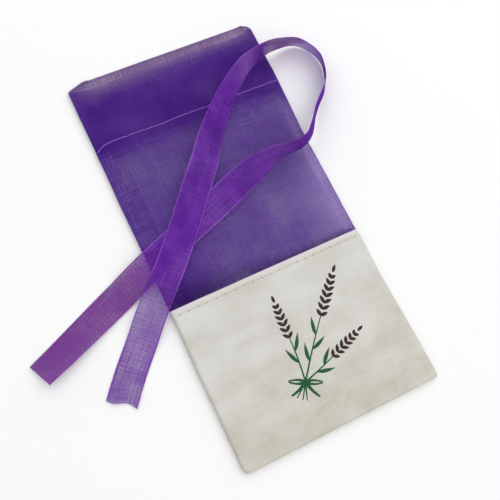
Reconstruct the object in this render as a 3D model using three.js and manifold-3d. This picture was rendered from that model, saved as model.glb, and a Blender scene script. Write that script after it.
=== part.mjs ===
// A lavender sachet: a flat sewn pouch with a cotton pocket below, a sheer organza top with a hemmed mouth
// above, and a loose ribbon laid over it. Millimetres, +Z up. The pouch lies on its back with +Y towards the
// mouth, and the origin is on the table under the middle of the cotton pocket.
import * as THREE from "three";
import { mergeVertices } from "three/addons/utils/BufferGeometryUtils.js";
import Module from "manifold-3d";

// Driving dimensions of the pouch.
const POUCH_WIDTH = 85;
const POUCH_LENGTH = 172.5;
const COTTON_LENGTH = 67;
const CORNER_RADIUS = 2.5;
const LIP_STEP = 5.5; // the front lip ends this far short of the back one
const HEM_DEPTH = 27; // from the lip to the hem's stitching
const HEM_ALLOWANCE = 7; // hem cloth past its stitching
const LEFT_ALLOWANCE = 9.5;
const RIGHT_ALLOWANCE = 4;
const BOTTOM_ALLOWANCE = 8;
const JOIN_ALLOWANCE = 7; // cotton folded under at the join
const TUCK_LENGTH = 8; // organza held under the cotton at the join
const STEP_RUN = 4; // length over which the organza rises from under the cotton

// Cloth, thread and the spaces between them.
const COTTON_THICKNESS = 0.5;
const ORGANZA_THICKNESS = 0.2;
const FOLD_GAP = 0.2; // between the two leaves of a fold
const CLEARANCE = 0.2; // between pieces that lie on each other
const THREAD_CLEARANCE = 0.05; // between a stitched thread and its cloth
const SEAM_THREAD_DIAMETER = 0.5;
const HEM_THREAD_DIAMETER = 0.3;
const STITCH_SINK = 0.6 * COTTON_THICKNESS; // depth to which the join's stitches press into the cotton
const STITCH_LENGTH = 4;
const STITCH_SLANT = 0.12; // each stitch leans this far to either side of its line
const STITCH_MARGIN = 1.5; // from the ends of a row of stitches to the pouch's sides
const JOIN_STITCH_INSET = 2.5; // from the cotton's folded edge to its stitches
const SEAM_INSET = 1.2; // from the pouch's edge to the hidden seams

// Ribbon and filling.
const RIBBON_WIDTH = 12;
const RIBBON_THICKNESS = 0.3;
const RIBBON_STEPS = 5; // sections between two points of its route
const RIBBON_STRIPS = 4; // facets across its width
const FILLING_BEVEL = 0.7;
const FILLING_CORNER = 6;

const FOLD_STEPS = 3;
const THREAD_SIDES = 5;

// Places along the pouch. Heights are counted as depths out from the seam plane, where front and back meet.
const RIGHT = POUCH_WIDTH / 2;
const LEFT = -RIGHT;
const JOIN = COTTON_LENGTH / 2;
const BOTTOM = -JOIN;
const BACK_MOUTH = BOTTOM + POUCH_LENGTH;
const FRONT_MOUTH = BACK_MOUTH - LIP_STEP;
const STEP_START = JOIN + CLEARANCE;
const STEP_END = STEP_START + STEP_RUN;
const SEAM_HALF_GAP = ORGANZA_THICKNESS + CLEARANCE + SEAM_THREAD_DIAMETER / 2;
const COTTON = leaves(COTTON_THICKNESS);
const ORGANZA = leaves(ORGANZA_THICKNESS);
const SEAM_Z = COTTON.outer;
const FRONT = 1;
const BACK = -1;

// The depths of a cloth folded back on itself inside the pouch, and the radii of its fold.
function leaves(thickness) {
  const inner = SEAM_HALF_GAP;
  const outer = inner + 2 * thickness + FOLD_GAP;
  return {
    thickness,
    inner,
    outer,
    middle: (inner + outer) / 2,
    outerRadius: (outer - inner) / 2,
    innerRadius: FOLD_GAP / 2,
  };
}

const wasm = await Module();
wasm.setup();

// A closed geometry as a solid that can be joined and cut.
function toSolid(geometry) {
  const bare = geometry.index ? geometry.toNonIndexed() : geometry.clone();
  bare.deleteAttribute("normal");
  bare.deleteAttribute("uv");
  const merged = mergeVertices(bare, 1e-4);
  const mesh = new wasm.Mesh({
    numProp: 3,
    vertProperties: merged.getAttribute("position").array,
    triVerts: Uint32Array.from(merged.index.array),
  });
  return new wasm.Manifold(mesh);
}

function toGeometry(solid) {
  const mesh = solid.getMesh();
  const geometry = new THREE.BufferGeometry();
  geometry.setAttribute("position", new THREE.BufferAttribute(mesh.vertProperties, 3));
  geometry.setIndex(new THREE.BufferAttribute(mesh.triVerts, 1));
  geometry.computeVertexNormals();
  return geometry;
}

// An outline of points (along, depth) moved to its height on the front or the back of the pouch.
function atHeight(outline, face) {
  const points = outline.getPoints(FOLD_STEPS);
  return new THREE.Shape(points.map((p) => new THREE.Vector2(p.x, SEAM_Z + face * p.y)));
}

const X = new THREE.Vector3(1, 0, 0);
const Y = new THREE.Vector3(0, 1, 0);
const Z = new THREE.Vector3(0, 0, 1);

// A profile of points (y, z) run across the pouch from one x to another.
function runAcross(profile, from, to) {
  const geometry = new THREE.ExtrudeGeometry(profile, { depth: to - from, bevelEnabled: false });
  geometry.applyMatrix4(new THREE.Matrix4().makeBasis(Y, Z, X));
  return geometry.translate(from, 0, 0);
}

// A profile of points (x, z) run along the pouch from one y to another.
function runAlong(profile, from, to) {
  const geometry = new THREE.ExtrudeGeometry(profile, { depth: to - from, bevelEnabled: false });
  geometry.applyMatrix4(new THREE.Matrix4().makeBasis(X, Z, Y.clone().negate()));
  return geometry.translate(0, to, 0);
}

// A rectangle in plan with a radius at its two lower and its two upper corners.
function roundedPlan(left, right, low, high, lowRadius, highRadius) {
  const plan = new THREE.Shape();
  plan.moveTo(left + lowRadius, low);
  plan.lineTo(right - lowRadius, low);
  plan.absarc(right - lowRadius, low + lowRadius, lowRadius, -Math.PI / 2, 0, false);
  plan.lineTo(right, high - highRadius);
  plan.absarc(right - highRadius, high - highRadius, highRadius, 0, Math.PI / 2, false);
  plan.lineTo(left + highRadius, high);
  plan.absarc(left + highRadius, high - highRadius, highRadius, Math.PI / 2, Math.PI, false);
  plan.lineTo(left, low + lowRadius);
  plan.absarc(left + lowRadius, low + lowRadius, lowRadius, Math.PI, 1.5 * Math.PI, false);
  return plan;
}

// A block through the whole thickness of the pouch, used to round a panel's corners.
function planBlock(plan) {
  const geometry = new THREE.ExtrudeGeometry(plan, {
    depth: 4 * SEAM_Z,
    bevelEnabled: false,
    curveSegments: FOLD_STEPS,
  });
  return toSolid(geometry.translate(0, 0, -SEAM_Z));
}

// The fold along a panel's side: out along the outer leaf, round the edge and back along the allowance.
function sideFold(cloth, hand, allowance, face, from, to) {
  const bend = RIGHT - cloth.outerRadius;
  const root = bend - cloth.outerRadius; // the outer leaf reaches this far into the panel
  const outline = new THREE.Shape();
  outline.moveTo(root, cloth.outer);
  outline.lineTo(bend, cloth.outer);
  outline.absarc(bend, cloth.middle, cloth.outerRadius, Math.PI / 2, -Math.PI / 2, true);
  outline.lineTo(RIGHT - allowance, cloth.inner);
  outline.lineTo(RIGHT - allowance, cloth.inner + cloth.thickness);
  outline.lineTo(bend, cloth.inner + cloth.thickness);
  outline.absarc(bend, cloth.middle, cloth.innerRadius, -Math.PI / 2, Math.PI / 2, false);
  outline.lineTo(root, cloth.outer - cloth.thickness);
  const points = outline.getPoints(FOLD_STEPS);
  const sided = new THREE.Shape(points.map((p) => new THREE.Vector2(hand * p.x, p.y)));
  return toSolid(runAlong(atHeight(sided, face), from, to));
}

function bothSideFolds(cloth, face, from, to) {
  const left = sideFold(cloth, -1, LEFT_ALLOWANCE, face, from, to);
  return left.add(sideFold(cloth, 1, RIGHT_ALLOWANCE, face, from, to));
}

// The pocket's panel: folded under at the bottom and at the join, with a pressed line for the join's stitches.
function cottonPanel(face) {
  const low = BOTTOM + COTTON.outerRadius;
  const high = JOIN - COTTON.outerRadius;
  const allowanceTop = COTTON.inner + COTTON.thickness;
  const profile = new THREE.Shape();
  profile.moveTo(BOTTOM + BOTTOM_ALLOWANCE, COTTON.inner);
  profile.lineTo(low, COTTON.inner);
  profile.absarc(low, COTTON.middle, COTTON.outerRadius, -Math.PI / 2, Math.PI / 2, true);
  profile.lineTo(high, COTTON.outer);
  profile.absarc(high, COTTON.middle, COTTON.outerRadius, Math.PI / 2, -Math.PI / 2, true);
  profile.lineTo(JOIN - JOIN_ALLOWANCE, COTTON.inner);
  profile.lineTo(JOIN - JOIN_ALLOWANCE, allowanceTop);
  profile.lineTo(high, allowanceTop);
  profile.absarc(high, COTTON.middle, COTTON.innerRadius, -Math.PI / 2, Math.PI / 2, false);
  profile.lineTo(low, COTTON.outer - COTTON.thickness);
  profile.absarc(low, COTTON.middle, COTTON.innerRadius, Math.PI / 2, 1.5 * Math.PI, false);
  profile.lineTo(BOTTOM + BOTTOM_ALLOWANCE, allowanceTop);
  const side = RIGHT - COTTON.outerRadius;
  const plan = roundedPlan(LEFT, RIGHT, BOTTOM, JOIN, CORNER_RADIUS, COTTON.outerRadius);
  return toSolid(runAcross(atHeight(profile, face), -side, side))
    .add(bothSideFolds(COTTON, face, low, high))
    .intersect(planBlock(plan))
    .subtract(stitchGroove(face));
}

function stitchGroove(face) {
  const half = STITCH_SINK / 2 + STITCH_SLANT + THREAD_CLEARANCE;
  const line = JOIN - JOIN_STITCH_INSET;
  const floor = COTTON.outer - STITCH_SINK;
  const top = COTTON.outer + STITCH_SINK;
  const groove = new THREE.Shape([
    new THREE.Vector2(line - half, floor),
    new THREE.Vector2(line + half, floor),
    new THREE.Vector2(line + half, top),
    new THREE.Vector2(line - half, top),
  ]);
  const end = RIGHT - STITCH_MARGIN + THREAD_CLEARANCE;
  return toSolid(runAcross(atHeight(groove, face), -end, end));
}

// The sheer top: hemmed at the mouth, folded in at the sides, and stepped down to a tail under the cotton.
function organzaPanel(face, mouth) {
  const high = mouth - ORGANZA.outerRadius;
  const hemEnd = mouth - HEM_DEPTH - HEM_ALLOWANCE;
  const hemTop = ORGANZA.inner + ORGANZA.thickness;
  const underside = ORGANZA.outer - ORGANZA.thickness;
  const profile = new THREE.Shape();
  profile.moveTo(STEP_END, underside);
  profile.lineTo(STEP_END, ORGANZA.outer);
  profile.lineTo(high, ORGANZA.outer);
  profile.absarc(high, ORGANZA.middle, ORGANZA.outerRadius, Math.PI / 2, -Math.PI / 2, true);
  profile.lineTo(hemEnd, ORGANZA.inner);
  profile.lineTo(hemEnd, hemTop);
  profile.lineTo(high, hemTop);
  profile.absarc(high, ORGANZA.middle, ORGANZA.innerRadius, -Math.PI / 2, Math.PI / 2, false);
  const side = RIGHT - ORGANZA.outerRadius;
  const plan = roundedPlan(LEFT, RIGHT, BOTTOM, mouth, CORNER_RADIUS, CORNER_RADIUS);
  return toSolid(runAcross(atHeight(profile, face), -side, side))
    .add(bothSideFolds(ORGANZA, face, STEP_END, high))
    .add(organzaTail(face))
    .intersect(planBlock(plan));
}

function organzaTail(face) {
  const tailTop = COTTON.inner - CLEARANCE;
  const tailUnder = tailTop - ORGANZA.thickness;
  const underside = ORGANZA.outer - ORGANZA.thickness;
  const end = JOIN - TUCK_LENGTH;
  const overlap = STEP_END + ORGANZA.outerRadius;
  const profile = new THREE.Shape([
    new THREE.Vector2(end, tailUnder),
    new THREE.Vector2(STEP_START, tailUnder),
    new THREE.Vector2(STEP_END, underside),
    new THREE.Vector2(overlap, underside),
    new THREE.Vector2(overlap, ORGANZA.outer),
    new THREE.Vector2(STEP_END, ORGANZA.outer),
    new THREE.Vector2(STEP_START, tailTop),
    new THREE.Vector2(end, tailTop),
  ]);
  const side = RIGHT - SEAM_INSET - SEAM_THREAD_DIAMETER / 2 - CLEARANCE;
  return toSolid(runAcross(atHeight(profile, face), -side, side));
}

// A row of stitches from one point to another, each leaning to the other side of the line than the last.
class StitchRow extends THREE.Curve {
  constructor(from, to, sideways) {
    super();
    this.from = from;
    this.to = to;
    this.sideways = sideways;
    this.stitches = Math.round(from.distanceTo(to) / STITCH_LENGTH);
  }

  getPoint(t, target = new THREE.Vector3()) {
    const lean = STITCH_SLANT * Math.cos(Math.PI * this.stitches * t);
    return target.lerpVectors(this.from, this.to, t).addScaledVector(this.sideways, lean);
  }
}

function thread(diameter, row) {
  const section = new THREE.Shape();
  for (let i = 0; i < THREAD_SIDES; i += 1) {
    const angle = (2 * Math.PI * i) / THREAD_SIDES;
    const u = (diameter / 2) * Math.cos(angle);
    const v = (diameter / 2) * Math.sin(angle);
    if (i === 0) section.moveTo(u, v);
    else section.lineTo(u, v);
  }
  return new THREE.ExtrudeGeometry(section, { steps: row.stitches, extrudePath: row, bevelEnabled: false });
}

// A thread across the pouch at one y, with its outer side at the given depth.
function threadAcross(face, y, diameter, outerDepth) {
  const z = SEAM_Z + face * (outerDepth - diameter / 2);
  const end = RIGHT - STITCH_MARGIN;
  return thread(diameter, new StitchRow(new THREE.Vector3(-end, y, z), new THREE.Vector3(end, y, z), Y));
}

function hemThread(face, mouth) {
  const outerDepth = ORGANZA.outer + THREAD_CLEARANCE + HEM_THREAD_DIAMETER;
  return threadAcross(face, mouth - HEM_DEPTH, HEM_THREAD_DIAMETER, outerDepth);
}

function joinThread(face) {
  const diameter = STITCH_SINK - 2 * THREAD_CLEARANCE;
  return threadAcross(face, JOIN - JOIN_STITCH_INSET, diameter, COTTON.outer - THREAD_CLEARANCE);
}

function bottomSeamThread() {
  return threadAcross(FRONT, BOTTOM + SEAM_INSET, SEAM_THREAD_DIAMETER, SEAM_THREAD_DIAMETER / 2);
}

function sideSeamThread(hand) {
  const x = hand * (RIGHT - SEAM_INSET);
  const low = new THREE.Vector3(x, BOTTOM + 2 * SEAM_INSET, SEAM_Z);
  const high = new THREE.Vector3(x, FRONT_MOUTH - STITCH_MARGIN, SEAM_Z);
  return thread(SEAM_THREAD_DIAMETER, new StitchRow(low, high, X));
}

// Heights of the ribbon's lower face: on the table, on the sheer top clear of the hem's stitches, and over
// itself.
const ON_TABLE = CLEARANCE;
const ON_POUCH = SEAM_Z + ORGANZA.outer + 2 * THREAD_CLEARANCE + HEM_THREAD_DIAMETER + CLEARANCE;
const OVER_ITSELF = ON_POUCH + RIBBON_THICKNESS + 2 * CLEARANCE;

// The ribbon's route: x, y from the bottom seam, height of its lowest edge, and roll in degrees from flat.
// It comes in from its first tail, crosses the pouch, stands on edge round the loop past the right side, leans
// over slowly as it lies down again, and runs back over itself to its second tail.
const RIBBON_ROUTE = [
  [LEFT - 53.5, 65, ON_TABLE, -26],
  [LEFT - 42.5, 69.5, ON_TABLE, -17],
  [LEFT - 26, 76.5, ON_TABLE, -6],
  [LEFT - 15, 81, ON_TABLE + 0.6, 0],
  [LEFT - 4.5, 85, ON_POUCH, 0],
  [LEFT + 3, 88, ON_POUCH, 0],
  [-27.5, 92.5, ON_POUCH, 0],
  [-10.5, 98.5, ON_POUCH, 0],
  [8, 105, ON_POUCH, 24],
  [20, 107.5, ON_POUCH, 68],
  [29.5, 108, ON_POUCH, 90],
  [RIGHT - 5, 109, ON_POUCH, 85],
  [RIGHT, 112.5, ON_POUCH, 75],
  [RIGHT + 6, 119.5, ON_TABLE + 2, 79],
  [RIGHT + 11, 124.5, ON_TABLE + 0.5, 83],
  [RIGHT + 16.5, 130, ON_TABLE, 81],
  [RIGHT + 19.5, 136.5, ON_TABLE, 77],
  [RIGHT + 20.5, 142.5, ON_TABLE, 74],
  [RIGHT + 18, 149.5, ON_TABLE, 71],
  [RIGHT + 13.5, 153, ON_TABLE + 1, 72],
  [RIGHT + 5, 154, ON_TABLE + 2.6, 83],
  [RIGHT - 1.5, 153.5, ON_POUCH, 90],
  [30.5, 150.5, ON_POUCH, 108],
  [22.5, 145.5, ON_POUCH, 120],
  [12, 136.5, ON_POUCH, 132],
  [2, 126, ON_POUCH, 148],
  [-4.5, 117.5, OVER_ITSELF + 1, 160],
  [-13, 108, OVER_ITSELF + 0.6, 172],
  [-23, 96.5, OVER_ITSELF, 180],
  [-33.5, 85, OVER_ITSELF, 180],
  [LEFT + 1.5, 77.5, OVER_ITSELF, 180],
  [LEFT - 7, 69, OVER_ITSELF, 180],
  [LEFT - 15, 60.5, ON_TABLE + 0.6, 180],
  [LEFT - 23, 52, ON_TABLE, 180],
  [LEFT - 30.5, 43, ON_TABLE, 180],
];

// The flat strip along the route, turned about its own line by the roll at each point.
function ribbonStrip() {
  const rolls = RIBBON_ROUTE.map((stop) => THREE.MathUtils.degToRad(stop[3]));
  const middles = RIBBON_ROUTE.map(([x, y, low], i) => {
    const upright = (RIBBON_WIDTH / 2) * Math.abs(Math.sin(rolls[i]));
    const flat = (RIBBON_THICKNESS / 2) * Math.abs(Math.cos(rolls[i]));
    return new THREE.Vector3(x, BOTTOM + y, low + upright + flat);
  });
  const line = new THREE.CatmullRomCurve3(middles);
  const spans = RIBBON_ROUTE.length - 1;
  const sections = [];
  for (let i = 0; i <= spans * RIBBON_STEPS; i += 1) {
    const stop = Math.min(Math.floor(i / RIBBON_STEPS), spans - 1);
    const share = i / RIBBON_STEPS - stop;
    const roll = THREE.MathUtils.lerp(rolls[stop], rolls[stop + 1], share);
    const t = i / (spans * RIBBON_STEPS);
    const ahead = line.getTangent(t);
    const left = new THREE.Vector3().crossVectors(Z, ahead).normalize();
    const up = new THREE.Vector3().crossVectors(ahead, left);
    const wide = left.clone().multiplyScalar(Math.cos(roll)).addScaledVector(up, Math.sin(roll));
    const thick = new THREE.Vector3().crossVectors(ahead, wide);
    sections.push(ribbonSection(line.getPoint(t), wide, thick));
  }
  return ribbonSkin(sections);
}

// Points round the ribbon at one place: along its lower face, then back along its upper face.
function ribbonSection(middle, wide, thick) {
  const points = [];
  for (const face of [-1, 1]) {
    for (let i = 0; i <= RIBBON_STRIPS; i += 1) {
      const share = (2 * i) / RIBBON_STRIPS - 1;
      const point = middle.clone().addScaledVector(wide, (-face * share * RIBBON_WIDTH) / 2);
      points.push(point.addScaledVector(thick, (face * RIBBON_THICKNESS) / 2));
    }
  }
  return points;
}

// A closed skin over the sections. Both faces split along the same diagonals, so a twist keeps its thickness.
function ribbonSkin(sections) {
  const size = sections[0].length;
  const last = (sections.length - 1) * size;
  const index = [];
  for (let row = 0; row < last; row += size) {
    for (let k = 0; k < size; k += 1) {
      const a = row + k;
      const b = row + ((k + 1) % size);
      if (k <= RIBBON_STRIPS) index.push(a, b, b + size, a, b + size, a + size);
      else index.push(a, b, a + size, b, b + size, a + size);
    }
  }
  for (let k = 0; k < RIBBON_STRIPS; k += 1) {
    const above = size - 1 - k;
    index.push(k, above, k + 1, k + 1, above, above - 1);
    index.push(last + k, last + k + 1, last + above, last + k + 1, last + above - 1, last + above);
  }
  const geometry = new THREE.BufferGeometry().setFromPoints(sections.flat());
  geometry.setIndex(index);
  geometry.computeVertexNormals();
  return geometry;
}

// The layer of dried buds, in the space that the folded edges leave inside the pocket.
function filling() {
  const left = LEFT + LEFT_ALLOWANCE + CLEARANCE + FILLING_BEVEL;
  const right = RIGHT - RIGHT_ALLOWANCE - CLEARANCE - FILLING_BEVEL;
  const low = BOTTOM + BOTTOM_ALLOWANCE + CLEARANCE + FILLING_BEVEL;
  const high = JOIN - TUCK_LENGTH - CLEARANCE - FILLING_BEVEL;
  const floor = COTTON_THICKNESS + CLEARANCE;
  const height = 2 * (SEAM_Z - floor);
  const plan = roundedPlan(left, right, low, high, FILLING_CORNER, FILLING_CORNER);
  const geometry = new THREE.ExtrudeGeometry(plan, {
    depth: height - 2 * FILLING_BEVEL,
    bevelThickness: FILLING_BEVEL,
    bevelSize: FILLING_BEVEL,
    bevelSegments: 2,
    curveSegments: 4,
  });
  return geometry.translate(0, 0, floor + FILLING_BEVEL);
}

function material(color, roughness) {
  return new THREE.MeshStandardMaterial({ color, roughness, metalness: 0 });
}

const cottonCloth = material(0xd3d1c8, 0.9);
const organzaCloth = material(0x5a3f8e, 0.45);
const ribbonCloth = material(0x6d4596, 0.4);
const lilacThread = material(0x8e78b4, 0.6);
const beigeThread = material(0xb8a88c, 0.7);
const driedBuds = material(0x6f6183, 0.95);

const sachet = new THREE.Group();

function addPiece(name, geometry, look) {
  const mesh = new THREE.Mesh(geometry, look);
  mesh.name = name;
  sachet.add(mesh);
}

addPiece("back_cotton_panel", toGeometry(cottonPanel(BACK)), cottonCloth);
addPiece("front_cotton_panel", toGeometry(cottonPanel(FRONT)), cottonCloth);
addPiece("back_organza_panel", toGeometry(organzaPanel(BACK, BACK_MOUTH)), organzaCloth);
addPiece("front_organza_panel", toGeometry(organzaPanel(FRONT, FRONT_MOUTH)), organzaCloth);
addPiece("back_join_thread", joinThread(BACK), beigeThread);
addPiece("front_join_thread", joinThread(FRONT), beigeThread);
addPiece("back_hem_thread", hemThread(BACK, BACK_MOUTH), lilacThread);
addPiece("front_hem_thread", hemThread(FRONT, FRONT_MOUTH), lilacThread);
addPiece("left_seam_thread", sideSeamThread(-1), lilacThread);
addPiece("right_seam_thread", sideSeamThread(1), lilacThread);
addPiece("bottom_seam_thread", bottomSeamThread(), beigeThread);
addPiece("lavender_filling", filling(), driedBuds);
addPiece("tie_ribbon", ribbonStrip(), ribbonCloth);

export default sachet;
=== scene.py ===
# %% [markdown]
# A lavender sachet lies on a table: a flat pouch with a printed cotton pocket below and a sheer top
# above, and a loose ribbon laid over it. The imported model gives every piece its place, and this
# lesson dresses it in cloth, thread, ink and dried buds. Lengths are written in millimetres and
# turned to metres when a mesh is finished.

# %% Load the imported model
import math
import random

import bmesh
import bpy
from mathutils import Euler, Matrix, Vector, noise


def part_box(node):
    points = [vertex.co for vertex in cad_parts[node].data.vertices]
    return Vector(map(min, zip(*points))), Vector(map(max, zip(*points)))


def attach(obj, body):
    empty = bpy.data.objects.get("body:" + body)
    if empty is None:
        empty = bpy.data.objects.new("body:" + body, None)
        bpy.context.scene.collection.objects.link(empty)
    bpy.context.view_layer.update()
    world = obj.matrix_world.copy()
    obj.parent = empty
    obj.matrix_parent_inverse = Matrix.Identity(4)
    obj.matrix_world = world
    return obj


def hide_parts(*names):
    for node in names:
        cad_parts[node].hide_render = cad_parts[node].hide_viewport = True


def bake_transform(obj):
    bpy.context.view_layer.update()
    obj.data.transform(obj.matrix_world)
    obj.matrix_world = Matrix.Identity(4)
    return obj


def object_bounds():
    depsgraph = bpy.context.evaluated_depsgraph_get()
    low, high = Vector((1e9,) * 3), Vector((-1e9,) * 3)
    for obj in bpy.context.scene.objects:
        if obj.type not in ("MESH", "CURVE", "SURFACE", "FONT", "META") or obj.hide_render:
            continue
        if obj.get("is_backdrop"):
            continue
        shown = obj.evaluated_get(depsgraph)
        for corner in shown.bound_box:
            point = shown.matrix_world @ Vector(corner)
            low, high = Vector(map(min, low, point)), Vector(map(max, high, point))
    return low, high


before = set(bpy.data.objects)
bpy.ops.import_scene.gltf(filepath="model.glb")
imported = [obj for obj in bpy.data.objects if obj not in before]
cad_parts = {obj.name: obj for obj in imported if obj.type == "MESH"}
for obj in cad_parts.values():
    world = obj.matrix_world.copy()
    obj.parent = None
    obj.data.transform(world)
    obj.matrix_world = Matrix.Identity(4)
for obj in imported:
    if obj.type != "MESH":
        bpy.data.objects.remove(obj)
cad_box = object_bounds()
MM = 0.001

# %% [markdown]
# The sewing lines are read off the imported solids, so an imported model with other sizes moves
# the cloth with it. The pouch lies on its back: x runs across it, y from the bottom seam to the
# mouth, and z up from the table. Only the front hem's row is set a little nearer to the mouth than
# in the imported model.

# %% Read the pouch's landmarks
X, Y, Z = 0, 1, 2
FRONT, BACK = 1, -1


def box_mm(name):
    low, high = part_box(name)
    return low / MM, high / MM


def middle_mm(name, axis):
    return sum(corner[axis] for corner in box_mm(name)) / 2


POCKET_LOW, POCKET_HIGH = box_mm("front_cotton_panel")
HALF = POCKET_HIGH.x
BOTTOM, JOIN = POCKET_LOW.y, POCKET_HIGH.y
MOUTH = {FRONT: box_mm("front_organza_panel")[1].y, BACK: box_mm("back_organza_panel")[1].y}
SIDE_SEAM = middle_mm("right_seam_thread", X)
SEAM_Z = middle_mm("right_seam_thread", Z)
BOTTOM_ROW = middle_mm("bottom_seam_thread", Y)
JOIN_ROW = middle_mm("front_join_thread", Y)
FRONT_HEM_SHIFT = 1.6
HEM_ROW = {
    FRONT: middle_mm("front_hem_thread", Y) + FRONT_HEM_SHIFT,
    BACK: middle_mm("back_hem_thread", Y),
}
STITCH = 4.0
LEFT_ALLOWANCE, RIGHT_ALLOWANCE = 9.5, 4.0
BOTTOM_ALLOWANCE, JOIN_ALLOWANCE, TUCK = 8.0, 7.0, 8.0
HEM_ALLOWANCE = {FRONT: 8.6, BACK: 7.0}
print(f"pouch {2 * HALF:.1f} mm wide, {MOUTH[BACK] - BOTTOM:.1f} mm long, pocket {JOIN - BOTTOM:.1f} mm")

# %% [markdown]
# The camera stands where the photograph was taken: a little left of the pouch, about 29 cm above
# the table and tilted by 18 degrees. Its place and lens were worked out from the pouch's four
# corners.

# %% Place the camera
camera = bpy.data.objects.new("camera", bpy.data.cameras.new("camera"))
camera.data.lens = 53.5
camera.data.sensor_width = 36.0
camera.location = (-0.07353, -0.01892, 0.28608)
camera.rotation_euler = [math.radians(angle) for angle in (16.957, -7.203, -26.149)]
bpy.context.scene.collection.objects.link(camera)
bpy.context.scene.camera = camera
print("camera", [round(part, 3) for part in camera.location])

# %% [markdown]
# A product table is a plain white sheet under soft light. The world is brightest overhead, like a
# wide softbox, one broad lamp on the right gives the cloth its direction, and the levels add up to
# about one, so that a colour shows as it is written.

# %% Lay the table and light it
TABLE_HALF = 1.5
SKY_LOW, SKY_OVERHEAD, SKY_SEEN = 0.30, 1.49, 1.0
LAMP_SIZE, LAMP_POWER = 0.9, 1.2
LAMP_PLACE, LAMP_AIM = Vector((0.42, 0.30, 0.55)), Vector((0, 0.04, 0))
scene = bpy.context.scene
scene.view_settings.view_transform = "Standard"
scene.cycles.transparent_max_bounces = 64


def new_object(name, data):
    made = bpy.data.objects.new(name, data)
    scene.collection.objects.link(made)
    return made


def new_material(name, roughness, **constants):
    made = bpy.data.materials.new(name)
    made.use_nodes = True
    shader = made.node_tree.nodes["Principled BSDF"]
    shader.inputs["Roughness"].default_value = roughness
    for label, value in constants.items():
        shader.inputs[label.replace("_", " ")].default_value = value
    return made, made.node_tree, shader


def feed(tree, socket, value):
    if isinstance(value, bpy.types.NodeSocket):
        tree.links.new(value, socket)
    else:
        socket.default_value = value


def node(tree, kind, inputs=None, **settings):
    made = tree.nodes.new(kind)
    for name, value in settings.items():
        setattr(made, name, value)
    for name, value in (inputs or {}).items():
        feed(tree, made.inputs[name], value)
    return made


def sums(tree, operation, first, second=0.0):
    return node(tree, "ShaderNodeMath", {0: first, 1: second}, operation=operation).outputs[0]


table_bm = bmesh.new()
bmesh.ops.create_grid(table_bm, x_segments=4, y_segments=4, size=TABLE_HALF)
table_mesh = bpy.data.meshes.new("table")
table_bm.to_mesh(table_mesh)
table_bm.free()
table = new_object("table", table_mesh)
table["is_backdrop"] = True
table_white, _, _ = new_material(
    "table_white", 1.0, Base_Color=(0.97, 0.97, 0.97, 1), Specular_IOR_Level=0.0,
)
table.data.materials.append(table_white)

world = bpy.data.worlds.new("studio")
scene.world = world
world.use_nodes = True
studio = world.node_tree
studio.nodes.clear()
rays = node(studio, "ShaderNodeLightPath").outputs
seen = sums(studio, "MAXIMUM", rays["Is Camera Ray"], rays["Is Glossy Ray"])
seen = sums(studio, "MAXIMUM", seen, rays["Is Transmission Ray"])
towards = node(studio, "ShaderNodeNewGeometry").outputs["Incoming"]
height = node(studio, "ShaderNodeSeparateXYZ", {0: towards}).outputs["Z"]
overhead = sums(studio, "MULTIPLY", height, height)
soft = {"Value": overhead, "To Min": SKY_LOW, "To Max": SKY_OVERHEAD}
soft = node(studio, "ShaderNodeMapRange", soft).outputs[0]
level = node(studio, "ShaderNodeMix", {0: seen, 2: soft, 3: SKY_SEEN}, data_type="FLOAT").outputs[0]
sky = node(studio, "ShaderNodeBackground", {"Color": (1, 1, 1, 1), "Strength": level})
node(studio, "ShaderNodeOutputWorld", {"Surface": sky.outputs[0]})

lamp = bpy.data.lights.new("broad_lamp", "AREA")
lamp.shape = "SQUARE"
lamp.size = LAMP_SIZE
lamp.energy = LAMP_POWER
lamp_object = new_object("broad_lamp", lamp)
lamp_object.location = LAMP_PLACE
lamp_object.rotation_euler = (LAMP_AIM - LAMP_PLACE).to_track_quat("-Z", "Y").to_euler()
print("table and lamp ready")

# %% [markdown]
# Cloth is drawn by its yarns. One group draws a plain weave from the place on the flat cut: the
# yarns wander a little, pass over and under each other, and some are thicker than others, which
# shows as fine streaks called slubs. Cotton, sheer cloth, ribbon and printed ink all use it. The
# ink takes the pitch of the cotton under it.

# %% Make the weave group
VECTOR, FLOAT = "NodeSocketVector", "NodeSocketFloat"
RIB_PITCH = 1.7


def group_of(name, inputs, outputs):
    group = bpy.data.node_groups.new(name, "ShaderNodeTree")
    for label, kind in inputs:
        group.interface.new_socket(label, in_out="INPUT", socket_type=kind)
    for label in outputs:
        group.interface.new_socket(label, in_out="OUTPUT", socket_type=FLOAT)
    return group, node(group, "NodeGroupInput").outputs, node(group, "NodeGroupOutput").inputs


def vectors(tree, operation, first, second):
    return node(tree, "ShaderNodeVectorMath", {0: first, 1: second}, operation=operation).outputs[0]


def spread(tree, value, low, high, to_low=0.0, to_high=1.0):
    inputs = {"Value": value, "From Min": low, "From Max": high, "To Min": to_low, "To Max": to_high}
    return node(tree, "ShaderNodeMapRange", inputs, interpolation_type="SMOOTHSTEP").outputs[0]


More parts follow.
